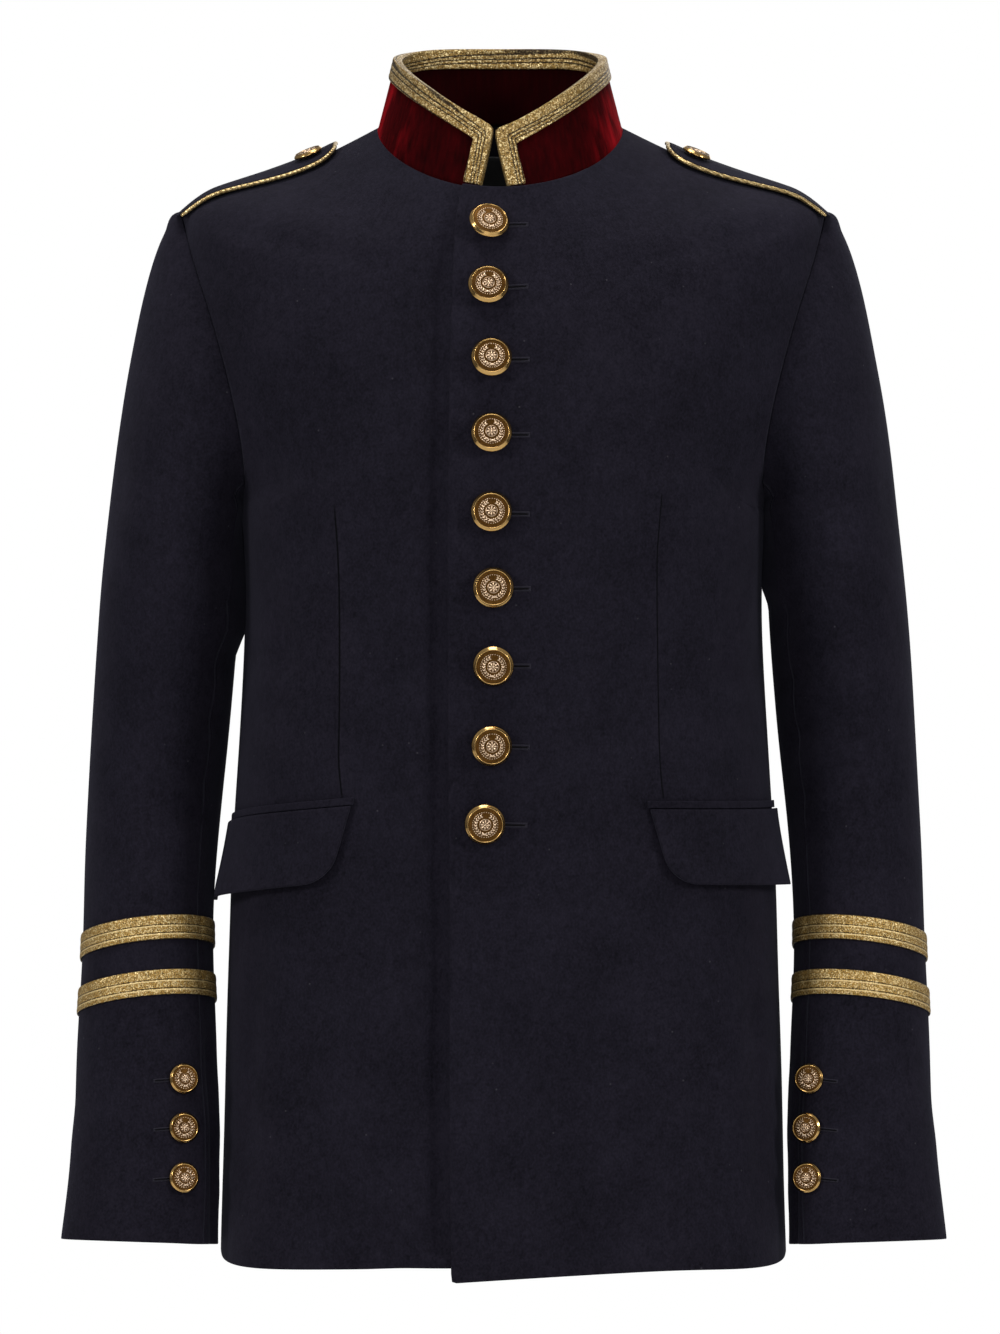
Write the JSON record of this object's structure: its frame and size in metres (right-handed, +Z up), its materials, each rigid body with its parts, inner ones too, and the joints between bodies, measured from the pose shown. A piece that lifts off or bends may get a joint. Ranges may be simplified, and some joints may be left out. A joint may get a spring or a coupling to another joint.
{
  "type": "military jacket",
  "caption": "Hip-length military jacket filled out as if worn, with a braid-bound velvet stand collar, shoulder straps, flap pockets and gold-banded cuffs.",
  "frame": {"origin": "midway between the wearer's shoulders, at their middle height, where the jacket hangs", "axes": "+X to the wearer's left, -Y to the front, +Z up"},
  "size_m": [0.5544, 0.2582, 0.7814],
  "materials": {
    "wool": "matt, brushed nap",
    "velvet": "velvet pile",
    "gold_braid": "metallic thread, ribbed",
    "brass": "antiqued, polished rims",
    "label": "satin"
  },
  "bodies": {
    "root": {"front_left": "wool", "front_right": "wool", "back_left": "wool", "back_right": "wool", "top_sleeve_left": "wool", "top_sleeve_right": "wool", "under_sleeve_left": "wool", "under_sleeve_right": "wool", "epaulette_left": "wool", "epaulette_right": "wool", "pocket_flap_left": "wool", "pocket_flap_right": "wool", "pocket_jet_left": "wool", "pocket_jet_right": "wool", "collar": "velvet", "collar_braid": "gold_braid", "cuff_braid_upper_left": "gold_braid", "cuff_braid_lower_left": "gold_braid", "cuff_braid_upper_right": "gold_braid", "cuff_braid_lower_right": "gold_braid", "epaulette_piping_left": "gold_braid", "epaulette_piping_right": "gold_braid", "button_front_1": "brass", "button_front_2": "brass", "button_front_3": "brass", "button_front_4": "brass", "button_front_5": "brass", "button_front_6": "brass", "button_front_7": "brass", "button_front_8": "brass", "button_front_9": "brass", "cuff_button_left_1": "brass", "cuff_button_left_2": "brass", "cuff_button_left_3": "brass", "cuff_button_right_1": "brass", "cuff_button_right_2": "brass", "cuff_button_right_3": "brass", "epaulette_button_left": "brass", "epaulette_button_right": "brass", "neck_label": "label"}
  },
  "joints": []
}
